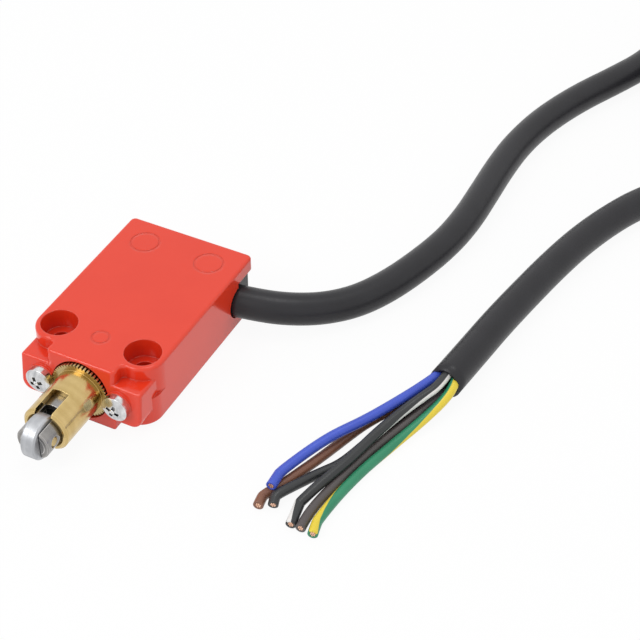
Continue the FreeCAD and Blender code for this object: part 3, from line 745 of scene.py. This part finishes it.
# Brass: painted shade in the tooth gaps and strong painted highlights on edges; the flange beyond the rim
# radius takes the darker rim colour.
BRASS = TurnedMetal("turned_brass", (0.66, 0.49, 0.22), (0.50, 0.35, 0.13), 0.2, lines=5200.0,
                    painted_shade_share=0.4, edge_highlight_tone=0.85, edge_highlight_gain=1.5, rim_radius=5.3)
AXLE_BRASS = TurnedMetal("axle_brass", (0.62, 0.46, 0.20), (0.20, 0.14, 0.06), 0.2, way=ToolWay.ALONG_X,
                         centre=(0.0, ROLLER_Y, AXIS_Z))
PIN_BRASS = TurnedMetal("pin_brass", (0.64, 0.53, 0.28), (0.46, 0.36, 0.17), 0.26,
                        centre=(0.0, PIN_Y, AXIS_Z))
# Plunger: strong painted highlights on edges and a painted highlight ring on the end face.
PLUNGER_STEEL = TurnedMetal("turned_steel", (0.34, 0.33, 0.32), (0.22, 0.21, 0.20), 0.3, edge_highlight_tone=0.9,
                            edge_highlight_gain=2.4, ring_radius=2.7)
ROLLER_STEEL = TurnedMetal("ground_steel", (0.63, 0.64, 0.66), (0.30, 0.31, 0.33), 0.42, way=ToolWay.ALONG_X,
                           centre=(0.0, ROLLER_Y, AXIS_Z), lines=4200.0, line_depth=0.008)
# Zinc screws: painted shade in the cross recesses and painted highlights on edges.
ZINC = TurnedMetal("zinc_plate", (0.82, 0.82, 0.82), (0.30, 0.31, 0.33), 0.2, line_depth=0.001,
                   painted_shade_reach=3.0, painted_shade_share=0.5, edge_highlight_tone=0.6, edge_highlight_gain=1.4)
SPRING_STEEL = TurnedMetal("spring_wire", (0.58, 0.58, 0.59), (0.44, 0.44, 0.46), 0.28)
CONTACT_METAL = TurnedMetal("contact_metal", (0.78, 0.64, 0.40), (0.62, 0.50, 0.30), 0.26)
COPPER = TurnedMetal("copper_strand", (0.86, 0.55, 0.40), (0.70, 0.38, 0.24), 0.3, edge_round=0.0)
BLACK_MOULDING = Moulded("black_moulding", (0.024, 0.024, 0.026), (0.032, 0.032, 0.034), 0.42)
SEAL_RUBBER = Moulded("seal_rubber", (0.018, 0.018, 0.018), (0.026, 0.026, 0.026), 0.6)
CREAM_MOULDING = Moulded("cream_moulding", (0.70, 0.65, 0.54), (0.62, 0.57, 0.46), 0.42)
RESIN = Moulded("dark_resin", (0.040, 0.040, 0.044), (0.052, 0.052, 0.058), 0.22)
SHEATH = CordSkin("cable_sheath", (0.021, 0.0205, 0.024), (0.016, 0.0155, 0.018), 0.36, specular=0.35)
BLUE = CordSkin("blue_insulation", (0.055, 0.105, 0.60), (0.045, 0.085, 0.52), 0.36)
BROWN = CordSkin("brown_insulation", (0.235, 0.10, 0.058), (0.195, 0.08, 0.047), 0.38)
BLACK = CordSkin("black_insulation", (0.030, 0.032, 0.034), (0.023, 0.025, 0.026), 0.36)
BLACK_WHITE = CordSkin("black_white_insulation", (0.030, 0.032, 0.034), (0.023, 0.025, 0.026), 0.36,
                       stripe=Stripe((0.82, 0.80, 0.78), 66.0, 1.6, 0.075, 32.0))
GREY = CordSkin("grey_insulation", (0.098, 0.083, 0.082), (0.078, 0.066, 0.065), 0.4)
GREEN_YELLOW = CordSkin("green_yellow_insulation", (0.028, 0.27, 0.135), (0.022, 0.22, 0.11), 0.36,
                        stripe=Stripe((0.80, 0.62, 0.045), 38.0, 3.3, 0.069, 56.0))
TABLE_TOP = Backdrop("table_top", (0.90, 0.90, 0.90), (0.87, 0.87, 0.87), 0.6)


@cache
def material_of(finish: Finish) -> bpy.types.Material:
    """The material of a finish, made once."""
    return finish.make()


def dress(node: str, finish: Finish) -> None:
    """Give a CAD node its finish.

    Args:
        node: Name of the node.
        finish: The finish.
    """
    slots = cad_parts[node].data.materials
    slots.clear()
    slots.append(material_of(finish))
    LOG.info("solid %s: %s", node, finish.name)


def add_object(name: str, data: bpy.types.ID) -> bpy.types.Object:
    """New object in the scene.

    Args:
        name: Name of the object.
        data: Its mesh, lamp or camera.

    Returns:
        The object.
    """
    made = bpy.data.objects.new(name, data)
    bpy.context.scene.collection.objects.link(made)
    return made


def finished_mesh(name: str, shape: Shape, finish: Finish) -> bpy.types.Mesh:
    """Mesh with its finish.

    Args:
        name: Name of the mesh.
        shape: Its form, which is freed.
        finish: Its finish.

    Returns:
        The mesh.
    """
    mesh = bpy.data.meshes.new(name)
    shape.to_mesh(mesh)
    shape.free()
    mesh.materials.append(material_of(finish))
    return mesh


def piece(name: str, shape: Shape, finish: Finish, body: str) -> bpy.types.Object:
    """Make a finished piece from a bmesh.

    Args:
        name: Name of the piece.
        shape: Its form, which is freed.
        finish: Its finish.
        body: The body that it rides on.

    Returns:
        The new object.
    """
    mesh = finished_mesh(name, shape, finish)
    made = add_object(name, mesh)
    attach(made, body)
    LOG.info("piece %s: %d faces", name, len(mesh.polygons))
    return made


@dataclass
class CordTube:
    """A cord drawn as a tube along a smooth route, with a hollow cut end. Sizes are in millimetres."""

    name: str
    route: list[Point]
    radius: float
    wall: float
    hollow: float
    finish: CordSkin
    slot: str
    sides: int = 6
    steps: int = 12
    weld: float = 0.02
    lip: float = 0.02

    def curve(self, thick: bool) -> bpy.types.Object:
        """The route as a NURBS curve.

        Args:
            thick: Whether it has the cord's thickness.

        Returns:
            A curve object that isn't in the scene.
        """
        data = bpy.data.curves.new(self.name + "_route", "CURVE")
        data.dimensions = "3D"
        spline = data.splines.new("NURBS")
        spline.points.add(len(self.route) - 1)
        for control, place in zip(spline.points, self.route):
            control.co = (*(c * MM for c in place), 1.0)
        spline.order_u = 3
        spline.use_endpoint_u = True
        data.resolution_u = self.steps
        spline.resolution_u = self.steps
        if thick:
            data.bevel_depth = self.radius * MM
            data.bevel_resolution = self.sides
            data.use_fill_caps = True
        return bpy.data.objects.new(self.name + "_route", data)

    def mesh_of(self, thick: bool) -> bpy.types.Mesh:
        """The route as a mesh; its curve is removed again.

        Args:
            thick: Whether it has the cord's thickness.

        Returns:
            The mesh.
        """
        made = self.curve(thick)
        mesh = bpy.data.meshes.new_from_object(made)
        bpy.data.curves.remove(made.data)
        return mesh

    def line(self) -> list[Vector]:
        """Follow the middle of the cord.

        Returns:
            The points, in metres.
        """
        mesh = self.mesh_of(False)
        points = [vertex.co.copy() for vertex in mesh.vertices]
        bpy.data.meshes.remove(mesh)
        return points

    def build(self) -> tuple[bpy.types.Object, list[Vector]]:
        """Build the tube.

        Returns:
            The cord's object and the points that it follows.
        """
        line = self.line()
        mesh = self.mesh_of(True)
        shape = bmesh.new()
        shape.from_mesh(mesh)
        bpy.data.meshes.remove(mesh)
        bmesh.ops.remove_doubles(shape, verts=shape.verts[:], dist=self.weld * MM)
        bmesh.ops.recalc_face_normals(shape, faces=shape.faces[:])
        self.cut_end(shape, line[-1], (line[-1] - line[-2]).normalized())
        for face in shape.faces:
            face.smooth = len(face.verts) == 4
        made = piece(self.name, shape, self.finish, "base")
        self.write_lay(made.data, line)
        return made, line

    def cut_end(self, shape: Shape, end: Vector, way: Vector) -> None:
        """Sink the middle of the far end below its wall.

        Args:
            shape: The tube.
            end: Middle of the far end.
            way: Direction out of that end.
        """
        reach = self.radius * MM
        cap = [face for face in shape.faces
               if (face.calc_center_median() - end).length < reach and face.normal.dot(way) > END_FACING]
        bmesh.ops.inset_region(shape, faces=cap, thickness=self.wall * MM, use_even_offset=True)
        bmesh.ops.inset_region(shape, faces=cap, thickness=self.lip * MM, depth=-self.hollow * MM,
                               use_even_offset=True)

    def write_lay(self, mesh: bpy.types.Mesh, line: list[Vector]) -> None:
        """Store the angle round the cord and the length along it on each vertex.

        Args:
            mesh: The tube's mesh.
            line: Points down its middle.
        """
        tree = KDTree(len(line))
        along = [0.0]
        for index, place in enumerate(line):
            tree.insert(place, index)
            if index:
                along.append(along[-1] + (place - line[index - 1]).length)
        tree.balance()
        values = mesh.attributes.new(LAY, "FLOAT_VECTOR", "POINT").data
        for vertex in mesh.vertices:
            place, index, _ = tree.find(vertex.co)
            way = line[min(index + 1, len(line) - 1)] - line[max(index - 1, 0)]
            side = way.cross(UP).normalized()
            over = side.cross(way).normalized()
            out = (vertex.co - place).normalized()
            values[vertex.index].vector = (out.dot(over), -out.dot(side), along[index])


@dataclass
class CableTie:
    """Band round the put-away turns, tight on the ones that it crosses. Sizes are in millimetres."""

    turns: list[Point]
    cable_radius: float
    width: float = 4.8
    thick: float = 0.85
    slack: float = 0.02
    sides: int = 24

    def build(self) -> bpy.types.Object:
        """Build the band.

        Returns:
            The tie's object.
        """
        shape = bmesh.new()
        upright = Matrix.Rotation(math.radians(90.0), 4, "X")
        radius = (self.cable_radius + self.slack) * MM
        for middle in self.turns:
            for side in (-0.5, 0.5):
                place = (Vector(middle) + Vector((0.0, side * self.width, 0.0))) * MM
                bmesh.ops.create_circle(shape, segments=self.sides, radius=radius,
                                        matrix=Matrix.Translation(place) @ upright)
        hull = bmesh.ops.convex_hull(shape, input=shape.verts[:])
        spare = hull["geom_interior"] + hull["geom_unused"]
        inside = {part for part in spare if isinstance(part, bmesh.types.BMVert)}
        bmesh.ops.delete(shape, geom=list(inside), context="VERTS")
        bmesh.ops.recalc_face_normals(shape, faces=shape.faces[:])
        ends = [face for face in shape.faces if abs(face.normal.y) > END_FACING]
        bmesh.ops.delete(shape, geom=ends, context="FACES")
        bmesh.ops.solidify(shape, geom=shape.faces[:], thickness=-self.thick * MM)
        bmesh.ops.recalc_face_normals(shape, faces=shape.faces[:])
        made = piece("tie_band", shape, BLACK_MOULDING, "base")
        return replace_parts(made, "cable_tie")


@dataclass
class Cable:
    """The round cable: lead out of the switch, put-away coil and the lead that comes back into view.

    Sizes are in millimetres; the length, in metres, is not used.
    """

    radius: float = 3.6
    length: float = 1.0
    wall: float = 0.75
    hollow: float = 0.7
    coil_centre: tuple[float, float] = (102.0, 173.0)
    coil_outer: float = 38.7
    coil_inner: float = 24.1
    coil_low: float = 4.5
    coil_high: float = 11.7
    coil_steps: int = 16
    rise_turn: float = 2.0
    rise_half: float = 0.2
    inner_half: float = 0.5
    turns: float = 3.656
    tie_turn: float = 0.5
    lead_out: list[Point] = field(default_factory=lambda: [
        (13.6, 30.3, 6.4), (20.2, 31.7, 6.0), (26.4, 34.9, 5.1), (31.6, 39.2, 4.2), (36.4, 45.0, 3.7),
        (40.2, 52.8, 3.6), (43.2, 62.4, 3.6), (45.4, 72.4, 3.6), (46.1, 82.4, 3.6), (45.7, 93.0, 3.6),
        (45.2, 104.0, 3.6), (45.4, 115.0, 3.6), (47.4, 127.0, 3.6), (51.6, 139.6, 3.7), (57.2, 151.0, 4.0),
        (62.0, 161.6, 4.4)])
    lead_in: list[Point] = field(default_factory=lambda: [
        (113.4, 135.0, 11.7), (103.6, 128.4, 9.6), (94.8, 121.8, 6.2), (87.0, 115.0, 4.2), (80.0, 107.0, 3.6),
        (75.8, 98.0, 3.6), (72.3, 87.4, 3.6), (69.8, 76.0, 3.6), (67.8, 63.7, 3.6), (66.1, 52.1, 3.6),
        (64.9, 40.6, 3.6), (63.7, 30.0, 3.6)])

    def coil(self) -> list[Point]:
        """Points of the put-away turns: inwards in the lower layer, then outwards in the upper one.

        Returns:
            The points in millimetres.
        """
        count = round(self.turns * self.coil_steps)
        return [self.coil_point(self.turns * index / count) for index in range(count + 1)]

    def coil_point(self, turn: float) -> Point:
        """Point of the put-away turns.

        Args:
            turn: How many turns have been laid.

        Returns:
            The point in millimetres.
        """
        angle = math.radians(180.0 - 360.0 * turn)
        x, y = self.coil_centre
        spread = held(abs(turn - self.rise_turn) - self.inner_half)
        radius = self.coil_inner + (self.coil_outer - self.coil_inner) * spread
        lift = held((turn - self.rise_turn + self.rise_half) / (2.0 * self.rise_half))
        height = self.coil_low + (self.coil_high - self.coil_low) * lift * lift * (3.0 - 2.0 * lift)
        return (x + radius * math.cos(angle), y + radius * math.sin(angle), height)

    def build(self) -> bpy.types.Object:
        """Returns:
            The cable's object.
        """
        route = self.lead_out + self.coil() + self.lead_in
        tube = CordTube("cable", route, self.radius, self.wall, self.hollow, SHEATH, "cable_sheath",
                        sides=8, steps=8)
        made, line = tube.build()
        crossings = int(self.turns - self.tie_turn) + 1
        crossed = [self.coil_point(index + self.tie_turn) for index in range(crossings)]
        tie = CableTie(crossed, self.radius).build()
        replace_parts(made, "cable_lead_out", "cable_coil", "cable_lead_in")
        return made


@dataclass
class Conductor:
    """One insulated conductor with its stranded copper core.

    Sizes are in millimetres; the length, in metres, is not used.
    """

    node: str
    finish: CordSkin
    slot: str
    turn_deg: float
    length: float
    points: list[Point]
    radius: float = 1.07
    wall: float = 0.38
    hollow: float = 0.12
    start_depth: float = 1.0
    ring_radius: float = 2.1
    sheath_end: Point = (63.7, 30.0, 3.6)
    sheath_way: Point = (-0.1297, -0.9916, 0.0)
    strand_radius: float = 0.2
    strand_length: float = 0.8
    outer_strands: int = 6
    strand_turn_deg: float = 11.0
    strand_pitch: float = 0.41
    strand_bevel: float = 0.05
    strand_sides: int = 12
    uneven: float = 0.02

    def start(self) -> Point:
        """Find where the conductor leaves the sheath, a little inside the sheath's end.

        Returns:
            The point in millimetres.
        """
        way = Vector(self.sheath_way)
        across = UP.cross(way).normalized()
        angle = math.radians(self.turn_deg)
        ring = across * math.cos(angle) + UP * math.sin(angle)
        return tuple(Vector(self.sheath_end) + ring * self.ring_radius - way * self.start_depth)

    def build(self) -> bpy.types.Object:
        """Returns:
            Its object.
        """
        route = [self.start()] + self.points
        name = self.node.replace("conductor", "insulation")
        tube = CordTube(name, route, self.radius, self.wall, self.hollow, self.finish, self.slot)
        made, line = tube.build()
        core = self.core(line[-1], (line[-1] - line[-2]).normalized())
        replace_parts(made, self.node)
        return made

    def core(self, end: Vector, way: Vector) -> bpy.types.Object:
        """Cut ends of the copper strands.

        Args:
            end: Middle of the conductor's end.
            way: Direction out of that end.

        Returns:
            The strands as one piece.
        """
        shape = bmesh.new()
        aim = way.to_track_quat("Z", "Y").to_matrix().to_4x4()
        radius = self.strand_radius * MM
        spots = [(0.0, 0.0)]
        for index in range(self.outer_strands):
            angle = math.tau * index / self.outer_strands + math.radians(self.strand_turn_deg)
            spots.append((self.strand_pitch * math.cos(angle), self.strand_pitch * math.sin(angle)))
        for number, (across, over) in enumerate(spots):
            proud = self.uneven * ((number * 3) % 4 - 1)
            middle = Vector((across, over, proud - self.strand_length / 2)) * MM
            spot = Matrix.Translation(end) @ aim @ Matrix.Translation(middle)
            bmesh.ops.create_cone(shape, cap_ends=True, segments=self.strand_sides, radius1=radius,
                                  radius2=radius, depth=self.strand_length * MM, matrix=spot)
        rims = [edge for edge in shape.edges if any(len(face.verts) > 4 for face in edge.link_faces)]
        bmesh.ops.bevel(shape, geom=rims, offset=self.strand_bevel * MM, offset_type="OFFSET", affect="EDGES",
                        segments=2, profile=0.5, material=-1)
        for face in shape.faces:
            face.smooth = True
        return piece(self.node.replace("conductor", "strands"), shape, COPPER, "base")


CONDUCTORS = [
    Conductor("conductor_blue", BLUE, "blue_insulation", 150.0, 0.0454, [
        (60.5, 26.6, 4.6), (57.2, 18.8, 4.5), (53.8, 11.8, 4.3), (50.4, 6.4, 4.0), (48.6, 2.6, 3.8),
        (46.8, -2.0, 3.5), (45.4, -6.2, 3.3), (45.1, -7.4, 3.2), (45.0, -7.8, 3.2), (45.0, -8.4, 3.1),
        (45.1, -11.4, 3.1)]),
    Conductor("conductor_black_white", BLACK_WHITE, "black_white_insulation", 90.0, 0.0489, [
        (63.6, 26.8, 5.5), (61.9, 23.2, 5.0), (60.2, 19.4, 4.4), (58.7, 15.4, 3.9), (57.4, 11.0, 3.5),
        (56.3, 6.2, 3.2), (55.3, 1.4, 3.0), (54.0, -2.9, 2.7), (52.7, -6.9, 2.2), (51.7, -10.2, 1.6),
        (51.5, -11.0, 1.5), (51.4, -11.4, 1.4), (51.5, -11.9, 1.3), (52.3, -16.9, 1.1)]),
    Conductor("conductor_green_yellow", GREEN_YELLOW, "green_yellow_insulation", 30.0, 0.0486, [
        (66.0, 28.4, 4.2), (65.4, 25.0, 3.4), (64.0, 20.8, 2.4), (62.6, 16.8, 1.7), (61.3, 13.0, 1.3),
        (60.1, 8.8, 1.1), (58.9, 4.4, 1.1), (57.9, -0.4, 1.1), (57.1, -5.6, 1.1), (56.7, -9.8, 1.1),
        (56.5, -13.0, 1.1), (56.5, -14.2, 1.1), (57.2, -17.2, 1.1)]),
    Conductor("conductor_grey", GREY, "grey_insulation", -30.0, 0.0488, [
        (63.1, 25.2, 2.3), (61.1, 18.8, 1.8), (59.5, 14.4, 1.3), (58.0, 9.9, 1.1), (56.8, 5.2, 1.1),
        (55.8, 0.3, 1.1), (55.0, -4.7, 1.1), (54.3, -9.6, 1.1), (54.1, -13.8, 1.1), (54.4, -16.9, 1.1)]),
    Conductor("conductor_black", BLACK, "black_insulation", -90.0, 0.0477, [
        (61.0, 24.8, 1.1), (57.8, 17.0, 1.1), (55.8, 9.8, 1.1), (54.5, 4.4, 1.1), (53.4, 1.2, 1.1),
        (51.9, -1.2, 1.1), (50.4, -3.7, 1.2), (49.2, -6.4, 1.5), (48.0, -9.2, 1.9), (47.0, -11.3, 2.0),
        (46.6, -12.3, 1.9), (46.7, -13.0, 1.7), (47.1, -14.3, 1.5)]),
    Conductor("conductor_brown", BROWN, "brown_insulation", -150.0, 0.0493, [
        (60.0, 25.6, 2.5), (57.4, 20.2, 2.5), (55.0, 16.0, 2.2), (53.1, 12.8, 1.6), (51.6, 8.8, 1.2),
        (50.3, 4.6, 1.1), (49.0, 0.4, 1.1), (47.6, -3.6, 1.1), (46.3, -7.4, 1.1), (44.9, -10.6, 1.1),
        (44.1, -12.4, 1.1), (44.0, -13.2, 1.1), (44.4, -15.4, 1.1)]),
]


@dataclass
class CoilSpring:
    """Compression spring on the plunger's axis.

    Sizes are in millimetres; keep, the share of the length that is left at full travel, is not used.
    """

    node: str
    radius: float
    wire: float
    front_y: float
    rear_y: float
    keep: float
    turns: int = 5
    turn_steps: int = 24
    wire_sides: int = 10
    axis_z: float = AXIS_Z

    def build(self) -> bpy.types.Object:
        """Wind the spring.

        Returns:
            The spring's object.
        """
        shape = bmesh.new()
        start = Vector((self.radius, self.front_y + self.wire, self.axis_z)) * MM
        bmesh.ops.create_circle(shape, cap_ends=True, segments=self.wire_sides, radius=self.wire * MM,
                                matrix=Matrix.Translation(start))
        steps = self.turns * self.turn_steps
        rise = (self.rear_y - self.front_y - 2 * self.wire) / steps
        bmesh.ops.spin(shape, geom=shape.verts[:] + shape.edges[:] + shape.faces[:],
                       cent=(0.0, 0.0, self.axis_z * MM), axis=(0.0, 1.0, 0.0), dvec=(0.0, rise * MM, 0.0),
                       angle=math.tau * self.turns, steps=steps)
        bmesh.ops.recalc_face_normals(shape, faces=shape.faces[:])
        for face in shape.faces:
            face.smooth = len(face.verts) == 4
        made = piece(self.node + "_wire", shape, SPRING_STEEL, "base")
        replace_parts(made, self.node)
        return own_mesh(made)


@dataclass
class Assembly:
    """Solids that belong together, each with its finish, and the spring that works among them."""

    finishes: dict[str, Finish]
    spring: CoilSpring | None = None

    def build(self) -> None:
        """Dress the solids and wind the spring."""
        for node, finish in self.finishes.items():
            dress(node, finish)
        if self.spring is not None:
            self.spring.build()


@dataclass
class Body(Assembly):
    """Housing with its cover, seals and cable outlet."""

    finishes: dict[str, Finish] = field(default_factory=lambda: {
        "housing": RED_PAINT, "rear_cover": RED_PAINT, "cover_seal": SEAL_RUBBER, "cover_screws": ZINC,
        "strain_relief": BLACK_MOULDING, "potting": RESIN})


@dataclass
class RollerHead(Assembly):
    """Toothed turret with plunger, roller and screws."""

    finishes: dict[str, Finish] = field(default_factory=lambda: {
        "turret": BRASS, "guide_pin": PIN_BRASS, "turret_seal": SEAL_RUBBER, "turret_screws": ZINC,
        "plunger": PLUNGER_STEEL, "plunger_o_ring": SEAL_RUBBER, "roller": ROLLER_STEEL,
        "roller_axle": AXLE_BRASS})
    spring: CoilSpring = field(default_factory=lambda: CoilSpring(
        "plunger_spring", radius=2.85, wire=0.35, front_y=-3.9, rear_y=5.5, keep=0.46))


@dataclass
class ContactSet(Assembly):
    """Contact base, carrier, bridges, blades and return spring."""

    finishes: dict[str, Finish] = field(default_factory=lambda: {
        "contact_base": CREAM_MOULDING, "contact_carrier": CREAM_MOULDING, "moving_contacts": CONTACT_METAL,
        "fixed_contacts": CONTACT_METAL})
    spring: CoilSpring = field(default_factory=lambda: CoilSpring(
        "carrier_spring", radius=1.9, wire=0.25, front_y=17.3, rear_y=26.1, keep=0.42))


@dataclass
class SoftBox:
    """A large soft lamp that faces the object. Lengths are in metres."""

    name: str
    place: Point
    side: float
    power: float
    target: Point = (0.02, 0.03, 0.0)

    def build(self) -> None:
        """Hang the lamp."""
        data = bpy.data.lights.new(self.name, "AREA")
        data.shape = "SQUARE"
        data.size = self.side
        data.energy = self.power
        lamp = add_object(self.name, data)
        lamp.location = self.place
        lamp.rotation_euler = facing(self.place, self.target)


@dataclass
class Studio:
    """Floor, lamps, world and camera. Lengths are in metres, lens and sensor in millimetres."""

    eye: Point = (0.15931, -0.21457, 0.2533)
    target: Point = (0.029956, 0.039366, 0.0)
    lens: float = 98.44
    sensor: float = 36.0
    clip: tuple[float, float] = (0.01, 20.0)
    floor_side: float = 6.0
    floor_drop: float = 0.0002
    sky: float = 0.78
    lamps: list[SoftBox] = field(default_factory=lambda: [
        SoftBox("key_light", (-0.25, -0.50, 0.53), 0.35, 1.6),
        SoftBox("top_light", (0.06, 0.14, 0.85), 0.3, 0.95)])

    def build(self) -> None:
        """Set the stage."""
        self.build_camera()
        self.build_floor()
        self.build_world()
        for lamp in self.lamps:
            lamp.build()
        bpy.context.scene.view_settings.view_transform = "Standard"

    def build_camera(self) -> None:
        """Camera at the photograph's place."""
        data = bpy.data.cameras.new("camera")
        data.lens = self.lens
        data.sensor_width = self.sensor
        data.clip_start, data.clip_end = self.clip
        camera = add_object("camera", data)
        camera.location = self.eye
        camera.rotation_euler = facing(self.eye, self.target)
        bpy.context.scene.camera = camera

    def build_floor(self) -> None:
        """Pale table top under the object."""
        shape = bmesh.new()
        bmesh.ops.create_grid(shape, x_segments=1, y_segments=1, size=self.floor_side / 2,
                              matrix=Matrix.Translation((0.0, 0.0, -self.floor_drop)))
        floor = add_object("table_top", finished_mesh("table_top", shape, TABLE_TOP))

    def build_world(self) -> None:
        """White surround, softer as a source of light than to the eye."""
        world = bpy.data.worlds.new("studio")
        world.use_nodes = True
        bpy.context.scene.world = world
        sheet = Sheet(world.node_tree)
        light = world.node_tree.nodes["Background"]
        light.inputs["Color"].default_value = rgba(WHITE)
        light.inputs["Strength"].default_value = self.sky
        white = sheet.add("ShaderNodeBackground")
        white.inputs["Color"].default_value = rgba(WHITE)
        white.inputs["Strength"].default_value = 1.0
        surface = world.node_tree.nodes["World Output"].inputs["Surface"]
        sheet.feed(surface, sheet.mix(seen_directly(sheet), light, white))


def main() -> None:
    """Build everything in order."""
    logging.basicConfig(level=logging.INFO, format="%(message)s")
    Studio().build()
    Cable().build()
    for conductor in CONDUCTORS:
        conductor.build()
    for assembly in (Body(), RollerHead(), ContactSet()):
        assembly.build()
    bpy.context.view_layer.update()


if __name__ == "__main__":
    main()
